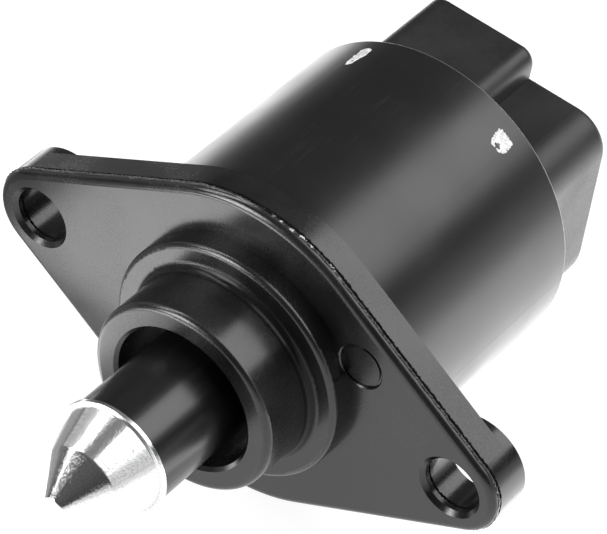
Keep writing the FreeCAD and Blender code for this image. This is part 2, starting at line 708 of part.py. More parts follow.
# Stator: two coils, each between a pair of pole plates whose tapered claws reach between each other.
def pole_plate(node, face, inward, turn):
    """A flat steel ring with a skirt, cut into tapered claws; inward is +1 or -1 along Y."""
    sheet_end = f"{face} + {inward} * sheet"
    skirt_end = f"{face} + {inward} * (sheet + bobbin_width - claw_clearance)"
    body = turned_body(node, [
        ("claw_bore", face),
        ("barrel_radius", face),
        ("barrel_radius", sheet_end),
        ("claw_bore + sheet", sheet_end),
        ("claw_bore + sheet", skirt_end),
        ("claw_bore", skirt_end),
    ])
    pitch = f"{2 * math.pi:.9f} * (claw_bore + sheet / 2) / pole_claws"
    sketch = new_sketch(body, node + "_gap", "XY_Plane")
    beyond = f"{skirt_end} + {inward} * claw_clearance"
    draw_polygon(sketch, [
        (f"-({pitch} - claw_root) / 2", sheet_end),
        (f"({pitch} - claw_root) / 2", sheet_end),
        (f"({pitch} - claw_end) / 2", beyond),
        (f"-({pitch} - claw_end) / 2", beyond),
    ])
    pocket = body.newObject("PartDesign::Pocket", node + "_gap_cut")
    pocket.Profile = sketch
    pocket.setExpression("Length", tied("can_radius"))
    document.recompute()
    pattern = body.newObject("PartDesign::PolarPattern", node + "_gaps")
    pattern.Originals = [pocket]
    pattern.Axis = (sketch, ["V_Axis"])
    pattern.Occurrences = int(value("pole_claws"))
    body.Tip = pattern
    document.recompute()
    body.Placement = FreeCAD.Placement(
        FreeCAD.Vector(0, 0, 0), FreeCAD.Rotation(FreeCAD.Vector(0, 1, 0), turn)
    )
    return keep(node, body)


def coil(place, face):
    """A moulded former and its copper winding, from the former's front face."""
    rear = f"{face} + bobbin_width - seat_gap"
    front = f"{face} + seat_gap"
    keep(place + "_coil_former", turned_body(place + "_coil_former", [
        ("bobbin_bore", front),
        ("barrel_radius - seat_gap", front),
        ("barrel_radius - seat_gap", f"{front} + bobbin_wall"),
        ("bobbin_floor", f"{front} + bobbin_wall"),
        ("bobbin_floor", f"{rear} - bobbin_wall"),
        ("barrel_radius - seat_gap", f"{rear} - bobbin_wall"),
        ("barrel_radius - seat_gap", rear),
        ("bobbin_bore", rear),
    ]))
    keep(place + "_coil_winding", turned_body(place + "_coil_winding", [
        ("bobbin_floor + seat_gap", f"{front} + bobbin_wall + seat_gap"),
        ("winding_radius", f"{front} + bobbin_wall + seat_gap"),
        ("winding_radius", f"{rear} - bobbin_wall - seat_gap"),
        ("bobbin_floor + seat_gap", f"{rear} - bobbin_wall - seat_gap"),
    ]))


claw_step = 180 / value("pole_claws")
pole_plate("front_outer_pole_plate", "plate_rear", 1, 0)
pole_plate("front_inner_pole_plate", "stack_middle", -1, claw_step)
pole_plate("rear_inner_pole_plate", "stack_middle", 1, claw_step / 2)
pole_plate("rear_outer_pole_plate", "stack_rear", -1, claw_step * 1.5)
coil("front", "plate_rear + sheet")
coil("rear", "stack_middle + sheet")

# Rear bush: sintered bronze, in the middle of the cover.
keep("rear_bush", turned_body("rear_bush", [
    ("tail_radius + bush_gap", "stack_rear + seat_gap"),
    ("bush_radius", "stack_rear + seat_gap"),
    ("bush_radius", "bush_floor"),
    ("tail_radius + bush_gap", "bush_floor"),
]))


# Rear cover: one black moulding. A disc closes the can, and the plug socket stands on it.
def prism(label, corners, low, high, round_rules, rim=None):
    """A pad along Y from a polygon of (X, Z) corners, with chosen long edges and its rear end rounded."""
    body = new_body(label)
    sketch = new_sketch(body, label + "_outline", "XZ_Plane", f"-({low})")
    draw_polygon(sketch, corners)
    pad = body.newObject("PartDesign::Pad", label + "_pad")
    pad.Profile = sketch
    pad.Reversed = True
    pad.setExpression("Length", tied(f"({high}) - ({low})"))
    document.recompute()
    for number, (side, up, rule) in enumerate(round_rules, start=1):
        edges = [
            f"Edge{index}" for index, edge in enumerate(body.Tip.Shape.Edges, start=1)
            if abs(edge.BoundBox.XMin - side) < CLOSE and abs(edge.BoundBox.XMax - side) < CLOSE
            and abs(edge.BoundBox.ZMin - up) < CLOSE and abs(edge.BoundBox.ZMax - up) < CLOSE
        ]
        soften(body, "Fillet", f"{label}_round_{number}", edges, rule)
    if rim is not None:
        rear = body.Tip.Shape.BoundBox.YMax
        edges = [
            f"Edge{index}" for index, edge in enumerate(body.Tip.Shape.Edges, start=1)
            if abs(edge.BoundBox.YMin - rear) < CLOSE
        ]
        soften(body, "Fillet", label + "_rim", edges, rim)
    return body


def box_corners(left, right, bottom, top, flare="0"):
    """The four corners of a box, in order; flare moves the lower right one further out."""
    return [(left, bottom), (f"{right} + {flare}", bottom), (right, top), (left, top)]


def socket_outside():
    """The socket's outer walls: a rounded block and the raised channel on its top."""
    low = "cover_rear - sheet"
    main = prism("socket_block",
                 box_corners("-socket_left", "socket_right", "-socket_bottom", "socket_top", "socket_flare"),
                 low, "socket_rear", [
        (value("socket_right"), value("socket_top"), "socket_corner"),
        (value("socket_right") + value("socket_flare"), -value("socket_bottom"), "socket_low_corner"),
        (-value("socket_left"), -value("socket_bottom"), "socket_low_corner"),
    ], "socket_rim")
    channel = prism("channel_block", box_corners("-socket_left", "key_box_right", "0", "key_box_top"),
                    low, "socket_rear", [
        (-value("socket_left"), value("key_box_top"), "key_box_round"),
        (value("key_box_right"), value("key_box_top"), "key_box_round"),
    ], "socket_rim")
    return [main, channel]


def socket_inside():
    """The hollow that takes the plug, with the same corners as outside, one wall smaller."""
    high = "socket_rear + sheet"
    inset = value("socket_wall")
    low_corner = "socket_low_corner - socket_wall"
    main = prism("socket_hollow",
                 box_corners("socket_wall - socket_left", "socket_right - socket_wall",
                             "socket_wall - socket_bottom", "socket_top - socket_wall", "socket_flare"),
                 "socket_floor", high, [
        (value("socket_right") - inset, value("socket_top") - inset, "socket_corner - socket_wall"),
        (value("socket_right") + value("socket_flare") - inset, inset - value("socket_bottom"), low_corner),
        (inset - value("socket_left"), inset - value("socket_bottom"), low_corner),
    ])
    channel = prism("channel_hollow",
                    box_corners("socket_wall - socket_left", "key_box_right - socket_wall",
                                "0", "key_box_top - socket_wall"),
                    "socket_floor", high, [])
    return [main, channel]


def blade_middle(column, row):
    """Rules for a blade's middle, from its column and row of -1 or 1, about the socket's middle."""
    side = f"(socket_right - socket_left) / 2 + {column} * blade_pitch_side / 2"
    up = f"(socket_top - socket_bottom) / 2 + {row} * blade_pitch_up / 2"
    return side, up


BLADES = {1: (-1, 1), 2: (1, 1), 3: (-1, -1), 4: (1, -1)}


def connector_cover():
    """The disc, the socket, the seats for bush and blades, and a recess under each stake."""
    disc = turned_body("cover_disc", [
        ("0", "stack_rear"),
        ("barrel_radius", "stack_rear"),
        ("barrel_radius", "cover_rear"),
        ("0", "cover_rear"),
    ])
    solid = fuse("cover_solid", [disc] + socket_outside())
    tools = socket_inside()
    tools.append(cylinder("bush_seat", "bush_radius + seat_gap", "stack_rear - sheet",
                          "bush_floor + seat_gap"))
    for number, (column, row) in BLADES.items():
        side, up = blade_middle(column, row)
        tools.append(block(
            f"blade_seat_{number}",
            (f"{side} - blade_width / 2 - seat_gap", f"{side} + blade_width / 2 + seat_gap"),
            ("socket_floor - blade_root - seat_gap", "socket_floor + sheet"),
            (f"{up} - blade_thickness / 2 - seat_gap", f"{up} + blade_thickness / 2 + seat_gap"),
        ))
    for index, angle in enumerate(stake_places(), start=1):
        tools.append(radial_cylinder(f"stake_recess_{index}", "stake_radius + seat_gap",
                                     "can_bore - stake_depth - seat_gap", "can_radius", angle,
                                     "can_rear - stake_setback"))
    return cut("connector_cover", solid, tools)


keep("connector_cover", connector_cover())


# Contact blades: four tinned brass strips, moulded into the cover, tapered at the plug's end.
def contact_blade(number, column, row):
    """One flat blade, drawn from above and padded to its thickness."""
    side, up = blade_middle(column, row)
    node = f"contact_blade_{number}"
    body = new_body(node)
    sketch = new_sketch(body, node + "_outline", "XY_Plane", f"{up} - blade_thickness / 2")
    tip = "socket_floor + blade_reach"
    draw_polygon(sketch, [
        (f"{side} - blade_width / 2", "socket_floor - blade_root"),
        (f"{side} + blade_width / 2", "socket_floor - blade_root"),
        (f"{side} + blade_width / 2", f"{tip} - blade_taper"),
        (f"{side} + blade_width / 2 - blade_taper", tip),
        (f"{side} - blade_width / 2 + blade_taper", tip),
        (f"{side} - blade_width / 2", f"{tip} - blade_taper"),
    ])
    pad = body.newObject("PartDesign::Pad", node + "_pad")
    pad.Profile = sketch
    pad.setExpression("Length", tied("blade_thickness"))
    document.recompute()
    return keep(node, body)


for blade_number, (blade_column, blade_row) in BLADES.items():
    contact_blade(blade_number, blade_column, blade_row)


# Plunger: a black moulded sleeve over the nut, with two keys that stop it from turning.
def plunger():
    """The sleeve with its stepped bore, and a key on each side."""
    sleeve = turned_body("plunger_sleeve", [
        ("stem_radius + seat_gap", "-plunger_reach"),
        ("plunger_radius", "-plunger_reach"),
        ("plunger_radius", "plunger_tail"),
        ("nut_radius + seat_gap", "plunger_tail"),
        ("nut_radius + seat_gap", "plunger_tail - nut_length / 3"),
        ("nut_radius + seat_gap - nut_groove", "plunger_tail - nut_length / 3"),
        ("nut_radius + seat_gap - nut_groove", "plunger_tail - 2 * nut_length / 3"),
        ("nut_radius + seat_gap", "plunger_tail - 2 * nut_length / 3"),
        ("nut_radius + seat_gap", "plunger_tail - nut_length - seat_gap"),
        ("plunger_chamber", "plunger_tail - nut_length - seat_gap"),
        ("plunger_chamber", "stem_length + seat_gap - plunger_reach"),
        ("stem_radius + seat_gap", "stem_length + seat_gap - plunger_reach"),
    ])
    keys = cut("plunger_keys", block(
        "key_bar",
        ("-key_reach", "key_reach"),
        ("plunger_tail - key_length", "plunger_tail"),
        ("-key_width / 2", "key_width / 2"),
    ), [cylinder("key_middle", "(plunger_radius + nut_radius) / 2", "plunger_tail - key_length - sheet",
                 "plunger_tail + sheet")])
    return fuse("plunger", [sleeve, keys])


keep("plunger", plunger())

nut_step = "plunger_tail - nut_length / 3"
nut_land = "plunger_tail - 2 * nut_length / 3"
keep("plunger_nut", turned_body("plunger_nut", [
    ("screw_radius + thread_gap", "plunger_tail"),
    ("nut_radius", "plunger_tail"),
    ("nut_radius", f"{nut_step} + seat_gap"),
    ("nut_radius - nut_groove", f"{nut_step} + seat_gap"),
    ("nut_radius - nut_groove", f"{nut_land} - seat_gap"),
    ("nut_radius", f"{nut_land} - seat_gap"),
    ("nut_radius", "plunger_tail - nut_length"),
    ("screw_radius + thread_gap", "plunger_tail - nut_length"),
]))

# Pintle tip: turned and polished metal. A thin lip, a turned groove and two cones end in a blunt
# point, and its stem is pressed into the plunger.
keep("pintle_tip", turned_body("pintle_tip", [
    ("0", "stem_length - plunger_reach"),
    ("stem_radius", "stem_length - plunger_reach"),
    ("stem_radius", "-plunger_reach"),
    ("lip_radius", "-plunger_reach"),
    ("lip_radius", "-tip_face"),
    ("cone_base + 2 * lip_groove", "-tip_face"),
    ("cone_base + lip_groove", "lip_groove - tip_face"),
    ("cone_base", "-tip_face"),
    ("cone_shoulder", "-shoulder_reach"),
    ("cone_end", "-tip_reach"),
    ("0", "-tip_reach"),
]))

# Check the document, then write one file for each piece
document.recompute()
for item in document.Objects:
    if "Invalid" in item.State or "Error" in item.State:
        raise RuntimeError(f"{item.Label} failed: {item.State}")
for node, item in kept.items():
    if item.Shape.isNull() or not item.Shape.isValid() or not item.Shape.Solids:
        raise RuntimeError(f"{node} has no valid solid")

os.makedirs("parts", exist_ok=True)
for node, item in kept.items():
    item.Shape.exportStep(os.path.join("parts", node + ".step"))
    box = item.Shape.BoundBox
    print(f"{node}: {len(item.Shape.Solids)} solid, {item.Shape.Volume:.1f} mm3, x {box.XMin:.2f} "
          f"{box.XMax:.2f}, y {box.YMin:.2f} {box.YMax:.2f}, z {box.ZMin:.2f} {box.ZMax:.2f}")
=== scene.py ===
import math

import bmesh
import bpy
import numpy as np
from mathutils import Matrix, Vector


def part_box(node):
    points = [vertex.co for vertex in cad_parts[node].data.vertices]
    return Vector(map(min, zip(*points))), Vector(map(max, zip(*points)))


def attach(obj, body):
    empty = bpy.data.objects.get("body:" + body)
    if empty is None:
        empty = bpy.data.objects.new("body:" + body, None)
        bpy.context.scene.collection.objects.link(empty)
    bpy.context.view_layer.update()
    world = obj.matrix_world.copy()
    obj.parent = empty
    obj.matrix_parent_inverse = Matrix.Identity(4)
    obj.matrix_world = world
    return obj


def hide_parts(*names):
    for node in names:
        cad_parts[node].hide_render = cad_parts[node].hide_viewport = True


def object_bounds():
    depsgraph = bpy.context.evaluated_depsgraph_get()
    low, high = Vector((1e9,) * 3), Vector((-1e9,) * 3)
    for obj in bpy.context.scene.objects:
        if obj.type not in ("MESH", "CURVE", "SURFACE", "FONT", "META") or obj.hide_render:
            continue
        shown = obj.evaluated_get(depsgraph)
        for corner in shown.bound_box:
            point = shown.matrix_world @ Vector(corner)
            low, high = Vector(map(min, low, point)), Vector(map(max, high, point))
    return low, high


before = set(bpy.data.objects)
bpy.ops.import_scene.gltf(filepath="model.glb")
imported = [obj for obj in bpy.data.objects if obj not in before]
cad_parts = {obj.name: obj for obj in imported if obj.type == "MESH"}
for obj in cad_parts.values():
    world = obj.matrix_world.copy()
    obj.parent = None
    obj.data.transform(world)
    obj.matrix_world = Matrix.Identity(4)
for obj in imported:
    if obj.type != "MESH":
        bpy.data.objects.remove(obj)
cad_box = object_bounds()

# Idle air control valve. Metres, in the valve's own frame: X through the two screw ears, +Y along the
# motor towards the plug socket, +Z up. The sections follow the valve as it is put together, from the
# moulded housing back through the motor to the plug socket, and then the plunger and its metal tip.


# Camera: it looks down on the nose of the valve from the front right, from about a third of a metre,
# with a long lens and a slight roll.
CAMERA_PLACE = (0.12148, -0.20638, 0.25073)
CAMERA_RIGHT = (0.7884, 0.5999, 0.1364)
CAMERA_BACK = (0.3480, -0.6177, 0.7052)
CAMERA_LENS = 215.25
CAMERA_SENSOR = 36.0
CAMERA_NEAR = 0.01

camera_data = bpy.data.cameras.new("camera")
camera_data.lens = CAMERA_LENS
camera_data.sensor_width = CAMERA_SENSOR
camera_data.clip_start = CAMERA_NEAR
camera = bpy.data.objects.new("camera", camera_data)
back = Vector(CAMERA_BACK).normalized()
right = (Vector(CAMERA_RIGHT) - back * Vector(CAMERA_RIGHT).dot(back)).normalized()
turn = Matrix((right, back.cross(right), back)).transposed()
camera.matrix_world = Matrix.Translation(CAMERA_PLACE) @ turn.to_4x4()
bpy.context.scene.collection.objects.link(camera)
bpy.context.scene.camera = camera
bpy.context.scene.view_settings.view_transform = "Standard"


# Studio light: a wide softbox overhead to the right, a bright strip on the left that dips towards the
# front, a bright card in front, and a weak card at each side. Four bright sheets lie on the table
# beside the valve; they show only in its reflections, and light its flanks from below.
SOFTBOX_HEIGHT = 0.5
SHEET_HEIGHT = cad_box[0].z - 0.0001
CARD_DISTANCE = 0.60
STRIP_DIP = (0.38, 0.73, 0.57)
UPRIGHT = (0, 0, 1)


def hang_lamp(name, place, away, width, length, radiance, along):
    """A rectangular lamp at a place, which shines against the away direction, its long side as near as
    can be to another one. Its power is radiance times pi times its area."""
    lamp = bpy.data.lights.new(name, "AREA")
    lamp.shape = "RECTANGLE"
    lamp.size = width
    lamp.size_y = length
    lamp.energy = radiance * math.pi * width * length
    away = Vector(away).normalized()
    long_side = (Vector(along) - away * Vector(along).dot(away)).normalized()
    holder = bpy.data.objects.new(name, lamp)
    facing = Matrix((long_side.cross(away), long_side, away)).transposed()
    holder.matrix_world = Matrix.Translation(place) @ facing.to_4x4()
    holder.visible_camera = False
    bpy.context.scene.collection.objects.link(holder)


def far_lamp(name, direction, width, length, radiance, along):
    """A lamp that faces the valve from a direction, a card's distance away."""
    place = Vector(direction).normalized() * CARD_DISTANCE
    hang_lamp(name, place, direction, width, length, radiance, along)


def flat_lamp(name, x_range, y_range, height, radiance):
    """A level lamp over a stretch of X and Y: overhead it shines down, and on the table up."""
    place = (sum(x_range) / 2, sum(y_range) / 2, height)
    hang_lamp(name, place, (0, 0, height), x_range[1] - x_range[0], y_range[1] - y_range[0],
              radiance, (0, 1, 0))


flat_lamp("overhead_softbox", (0.03, 0.60), (-0.07, 0.78), SOFTBOX_HEIGHT, radiance=3.0)
far_lamp("left_strip", (-0.72, -0.13, 0.66), 0.12, 0.48, radiance=7.0, along=STRIP_DIP)
far_lamp("front_card", (-0.52, -0.78, 0.30), 0.20, 0.36, radiance=11.0, along=UPRIGHT)
far_lamp("right_card", (0.87, 0.0, 0.48), 0.24, 0.34, radiance=0.62, along=UPRIGHT)
far_lamp("left_card", (-0.91, 0.10, 0.38), 0.20, 0.38, radiance=0.42, along=UPRIGHT)
flat_lamp("right_sheet", (0.010, 0.150), (0.008, 0.150), SHEET_HEIGHT, radiance=1.6)
flat_lamp("left_sheet", (-0.118, -0.022), (0.028, 0.130), SHEET_HEIGHT, radiance=2.4)
flat_lamp("front_sheet", (-0.036, -0.018), (-0.036, -0.010), SHEET_HEIGHT, radiance=2.7)
flat_lamp("far_sheet", (-0.064, -0.022), (-0.112, -0.052), SHEET_HEIGHT, radiance=7.0)


# Room: dim and grey, lighter overhead and darker towards the front, with a low glow along the horizon
# that is brighter to the right. Only the valve mirrors it so; the camera sees it plain white.
ROOM_LOW = 0.064
ROOM_HIGH = 0.272
ROOM_RISE = (0.2, 1.0)
ROOM_FRONT = 0.45
FRONT_FADE = (-0.45, 0.05)
HORIZON_LEFT = 0.176
HORIZON_RIGHT = 0.84
HORIZON_TURN = (0.2, 0.6)
HORIZON_TOP = (0.14, 0.28)


def shade(tree, kind, outlet=0, **sockets):
    """Adds a shader node. A small first letter names one of its properties, a capital one of its
    inputs, with _ for a space; a socket given for an input is linked. Returns an output."""
    node = tree.nodes.new("ShaderNode" + kind)
    for name, value in sockets.items():
        if name[0].islower():
            setattr(node, name, value)
        elif isinstance(value, bpy.types.NodeSocket):
            tree.links.new(value, node.inputs[name.replace("_", " ")])
        else:
            node.inputs[name.replace("_", " ")].default_value = value
    return node.outputs[outlet]


def calc(tree, operation, *numbers):
    """A Math node on one, two or three numbers or sockets."""
    node = tree.nodes.new("ShaderNodeMath")
    node.operation = operation
    for inlet, number in zip(node.inputs, numbers):
        if isinstance(number, bpy.types.NodeSocket):
            tree.links.new(number, inlet)
        else:
            inlet.default_value = number
    return node.outputs[0]


def spread(tree, source, low, high, start=0.35, stop=0.65):
    """Carries what lies between start and stop to low and high, and holds it there beyond. The usual
    start and stop are those between which noise mostly lies."""
    return shade(tree, "MapRange", Value=source, From_Min=start, From_Max=stop, To_Min=low,
                 To_Max=high)


world = bpy.data.worlds.new("room")
world.use_nodes = True
bpy.context.scene.world = world
room = world.node_tree
room.nodes.clear()
way = shade(room, "TexCoord", "Generated")
way_x, way_y, way_z = (shade(room, "SeparateXYZ", axis, Vector=way) for axis in "XYZ")
room_grey = calc(room, "MULTIPLY", spread(room, way_y, ROOM_FRONT, 1.0, *FRONT_FADE),
                 spread(room, way_z, ROOM_LOW, ROOM_HIGH, *ROOM_RISE))
horizon = calc(room, "MULTIPLY", spread(room, way_x, HORIZON_LEFT, HORIZON_RIGHT, *HORIZON_TURN),
               spread(room, way_z, 1.0, 0.0, *HORIZON_TOP))
room_seen = calc(room, "MAXIMUM", calc(room, "MAXIMUM", room_grey, horizon),
                 shade(room, "LightPath", "Is Camera Ray"))
room_light = shade(room, "Background", Color=(1, 1, 1, 1), Strength=room_seen)
room.links.new(room_light, room.nodes.new("ShaderNodeOutputWorld").inputs["Surface"])


# Floor: a plain table, matt and grey under the lamps, so that it throws little light back. The camera
# sees it white; mirrored in the valve it is white too, and ends to the left.
FLOOR_REACH = 3.0
FLOOR_GAP = 0.0002
TABLE_GREY = (0.28, 0.28, 0.28, 1)
TABLE_LIGHT = 0.88
TABLE_EDGE = (-0.045, -0.022)
TABLE_BEYOND = 0.04

floor_level = cad_box[0].z - FLOOR_GAP
floor_mesh = bpy.data.meshes.new("floor")
floor_mesh.from_pydata(
    [(-FLOOR_REACH, -FLOOR_REACH, floor_level), (FLOOR_REACH, -FLOOR_REACH, floor_level),
     (FLOOR_REACH, FLOOR_REACH, floor_level), (-FLOOR_REACH, FLOOR_REACH, floor_level)],
    [], [(0, 1, 2, 3)])
floor = bpy.data.objects.new("floor", floor_mesh)
bpy.context.scene.collection.objects.link(floor)

white_table = bpy.data.materials.new("white_table")
white_table.use_nodes = True
tree = white_table.node_tree
tree.nodes.clear()
table_x = shade(tree, "SeparateXYZ", "X", Vector=shade(tree, "TexCoord", "Object"))
rays = tree.nodes.new("ShaderNodeLightPath")
mirrored = calc(tree, "MAXIMUM", rays.outputs["Is Glossy Ray"], rays.outputs["Is Transmission Ray"])
mirrored = calc(tree, "MULTIPLY", mirrored, spread(tree, table_x, TABLE_BEYOND, 1.0, *TABLE_EDGE))
seen = calc(tree, "MULTIPLY", rays.outputs["Is Camera Ray"], TABLE_LIGHT)
table_glow = shade(tree, "Emission", Strength=calc(tree, "MAXIMUM", seen, mirrored))
table_both = tree.nodes.new("ShaderNodeAddShader")
tree.links.new(shade(tree, "BsdfDiffuse", Color=TABLE_GREY), table_both.inputs[0])
tree.links.new(table_glow, table_both.inputs[1])
tree.links.new(table_both.outputs[0], tree.nodes.new("ShaderNodeOutputMaterial").inputs["Surface"])
floor_mesh.materials.append(white_table)


# Front housing: one injection moulding in black glass-filled nylon, with the mould's fine spark texture
# on it. Its flange, ears, collar and spigot show. The two halves of the mould met round the flange's
# side, where a ragged line of painted shade runs; painted shade also dulls the root of the spigot.
HOUSING_BLACK = (0.006, 0.006, 0.0063)
HOUSING_GREY = (0.012, 0.012, 0.0123)
HOUSING_ROUGH = 0.24
MOULDING_IOR = 1.6
MOULDING_SPECULAR = 0.5
MOULDING_WANDER = 0.04
FLOW_LUMP = 0.006
SPARK_GRAIN = 0.00022
SPARK_DEPTH = 0.0000022
# The ragged line of painted shade near the parting line, behind the flash.
SEAM_PLACE = 0.00110
SEAM_HALF = 0.00018
SEAM_FADE = 1.3 * SEAM_HALF
SEAM_LUMP = 0.0003
SEAM_THIN = 0.2
SEAM_CUT = (0.3, 0.7)
# The corner at the spigot's root, where painted shade turns the gleam down.
ROOT_RADIUS = 0.0113
ROOT_FRONT = -0.0024
ROOT_BACK = -0.0034
ROOT_FADE = 0.0001
ROOT_SHADE = 0.75


def finish(name, colour, roughness, metallic=0.0, ior=1.5):
    """A new material with the numbers that are alike all over it set on its shader."""
    material = bpy.data.materials.new(name)
    material.use_nodes = True
    shader = material.node_tree.nodes["Principled BSDF"]
    shader.inputs["Base Color"].default_value = (*colour, 1)
    shader.inputs["Roughness"].default_value = roughness
    shader.inputs["Metallic"].default_value = metallic
    shader.inputs["IOR"].default_value = ior
    return material, material.node_tree, shader


def grain(tree, size, stretch=(1, 1, 1), detail=2.0):
    """Noise fixed to the piece, in lumps of a size in metres, each longer along an axis by its
    stretch."""
    scale = tuple(1 / (size * longer) for longer in stretch)
    place = shade(tree, "Mapping", Vector=shade(tree, "TexCoord", "Object"), Scale=scale)
    return shade(tree, "TexNoise", Vector=place, Scale=1.0, Detail=detail)


def along_axis(tree):
    """The place along Y."""
    return shade(tree, "SeparateXYZ", "Y", Vector=shade(tree, "TexCoord", "Object"))


def off_axis(tree, x=0.0, z=0.0):
    """The distance from a line along Y, which is the valve's axis unless X and Z of another are given:
    the length of what is left when the line is shifted to the origin and Y made zero."""
    flat = shade(tree, "Mapping", Vector=shade(tree, "TexCoord", "Object"), Location=(-x, 0, -z),
                 Scale=(1, 0, 1))
    return shade(tree, "VectorMath", 1, operation="LENGTH", Vector=flat)


def tint(tree, amount, first, second):
    """The first colour turning into the second as the amount goes from 0 to 1."""
    node = tree.nodes.new("ShaderNodeMix")
    node.data_type = "RGBA"
    tree.links.new(amount, node.inputs[0])
    for inlet, colour in ((node.inputs[6], first), (node.inputs[7], second)):
        if isinstance(colour, bpy.types.NodeSocket):
            tree.links.new(colour, inlet)
        else:
            inlet.default_value = (*colour, 1)
    return node.outputs[2]


def relief(tree, height, depth, under=None):
    """Lifts the surface by height times a depth in metres, on top of another relief if one is given."""
    sockets = {"Height": height, "Distance": depth}
    if under is not None:
        sockets["Normal"] = under
    return shade(tree, "Bump", **sockets)


def wire(tree, shader, **sockets):
    """Links sockets to the shader's inputs, named with _ for a space."""
    for name, source in sockets.items():
        tree.links.new(source, shader.inputs[name.replace("_", " ")])


def dress(material, *names):
    """Puts the material into the slots of CAD nodes."""
    for name in names:
        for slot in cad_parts[name].material_slots:
            slot.material = material


def moulded_black(name, dark, light, roughness):
    """Glass-filled nylon: cloudy from its flow into the mould, with the spark texture of the steel.
    Painted shade takes its gleam away near the parting line, told by the distance from it along Y over a
    ragged share of its width, and turns most of it down at the root of the spigot, told by the places
    along Y and off the axis."""
    material, tree, shader = finish(name, dark, roughness, ior=MOULDING_IOR)
    flow = grain(tree, FLOW_LUMP, detail=5.0)
    spark = grain(tree, SPARK_GRAIN, detail=3.0)
    colour = tint(tree, spread(tree, flow, 0.0, 1.0), dark, light)
    cloudy = spread(tree, flow, roughness - MOULDING_WANDER, roughness + MOULDING_WANDER)
    gloss = calc(tree, "ADD", cloudy, spread(tree, spark, -MOULDING_WANDER, MOULDING_WANDER))
    y = along_axis(tree)
    seam_off = calc(tree, "ABSOLUTE", calc(tree, "SUBTRACT", y, SEAM_PLACE))
    seam_share = spread(tree, grain(tree, SEAM_LUMP, detail=3.0), SEAM_THIN, 1.0, *SEAM_CUT)
    # Painted shade: a ragged line near the parting line loses its specular and looks dark, like shadow
    # behind the flash.
    seam = spread(tree, calc(tree, "DIVIDE", seam_off, seam_share), 0.0, MOULDING_SPECULAR, SEAM_HALF,
                  SEAM_FADE)
    # Painted shade: the corner at the spigot's root loses most of its specular, like shade in that
    # corner.
    root = spread(tree, off_axis(tree), 1.0, 0.0, ROOT_RADIUS, ROOT_RADIUS + ROOT_FADE)
    root = calc(tree, "MULTIPLY", root, spread(tree, y, 1.0, 0.0, ROOT_FRONT - ROOT_FADE, ROOT_FRONT))
    root = calc(tree, "MULTIPLY", root,
                spread(tree, y, 0.0, ROOT_SHADE, ROOT_BACK - ROOT_FADE, ROOT_BACK))
    gleam = calc(tree, "MULTIPLY", seam, calc(tree, "SUBTRACT", 1.0, root))
    wire(tree, shader, Base_Color=colour, Roughness=gloss, Normal=relief(tree, spark, SPARK_DEPTH),
         Specular_IOR_Level=gleam)
    return material


dress(moulded_black("black_moulding", HOUSING_BLACK, HOUSING_GREY, HOUSING_ROUGH), "front_housing")


# Parting flash: a ragged thread of the housing's nylon, which pressed out where the halves of its mould
# met, round the flange's side. White flecks near its top are painted highlights of the lamps.
EAR_SPACING = 0.050
LOBE_RADIUS = 0.01795
EAR_RADIUS = 0.0051
FLASH_PLACE = 0.00078
FLASH_DRIFT = 0.00002
FLASH_WIDTH = 0.00016
FLASH_HEIGHT = 0.00008
FLASH_STEP = 0.0001
FLASH_SECTION = np.array([
    (-1.0, -1.2), (-0.8, 0.1), (-0.4, 0.75), (0.0, 1.0), (0.5, 0.7), (1.0, 0.25), (1.0, -1.2),
])
FLASH_ROUGH = 0.3
# White flecks of painted highlight, gathered near the top of the lobe.
FLECK_SIZE = 0.0009
FLECK_CUT = (0.535, 0.585)
FLECK_FEW = 0.05
GLINT_WHITE = (0.75, 0.75, 0.75)
GLINT_X = 0.0046
GLINT_Z = 0.0172
GLINT_REACH = (0.0030, 0.0048)
SAME_POINT = 1e-8


def flange_outline(step):
    """Points and outward normals round the flange, at even steps: an arc round each ear and each side
    of the lobe, and the straight tangents between them, whose lean has the sine of the two radii's
    difference over the distance between their centres. Each comes from its share of the whole way."""
    reach = EAR_SPACING / 2
    lean = math.asin((LOBE_RADIUS - EAR_RADIUS) / reach)
    tangent = reach * math.cos(lean)
    ear_turn = math.pi - 2 * lean
    lobe_turn = 2 * lean
    spans = np.array([ear_turn * EAR_RADIUS, tangent, lobe_turn * LOBE_RADIUS, tangent] * 2)
    ends = np.concatenate([[0.0], np.cumsum(spans)])
    way = np.linspace(0.0, ends[-1], int(ends[-1] / step), endpoint=False)
    span = np.searchsorted(ends, way, side="right") - 1
    share = (way - ends[span]) / spans[span]
    turned = np.array([ear_turn, 0.0, lobe_turn, 0.0] * 2)
    start = np.concatenate([[0.0], np.cumsum(turned)])[:-1] - ear_turn / 2
    angle = start[span] + share * turned[span]
    normal = np.stack([np.cos(angle), np.sin(angle)], -1)
    centre = np.array([[reach, 0], [reach, 0], [0, 0], [0, 0]])
    centre = np.concatenate([centre, -centre])
    radius = np.array([EAR_RADIUS, EAR_RADIUS, LOBE_RADIUS, LOBE_RADIUS] * 2)
    along = np.stack([-normal[:, 1], normal[:, 0]], -1)
    straight = np.where(turned[span] == 0, share * tangent, 0.0)
    point = centre[span] + radius[span, None] * normal + straight[:, None] * along
    return point, normal


def smooth_noise(count, lumps, seed):
    """A closed run of smooth random numbers: sine waves of 1 to lumps turns, with random heights and
    starts, added up and divided by their spread."""
    pick = np.random.default_rng(seed)
    waves = np.arange(1, lumps + 1)
    phase = pick.uniform(0, 2 * np.pi, lumps)
    height = pick.normal(0, 1, lumps)
    round_way = np.linspace(0, 2 * np.pi, count, endpoint=False)
    total = (height * np.sin(round_way[:, None] * waves + phase)).sum(1)
    return total / total.std()


def wander(count, swing, lumps, seed, least, most):
    """One plus swing times smooth noise, held between the least and the most."""
    return np.clip(1.0 + swing * smooth_noise(count, lumps, seed), least, most)


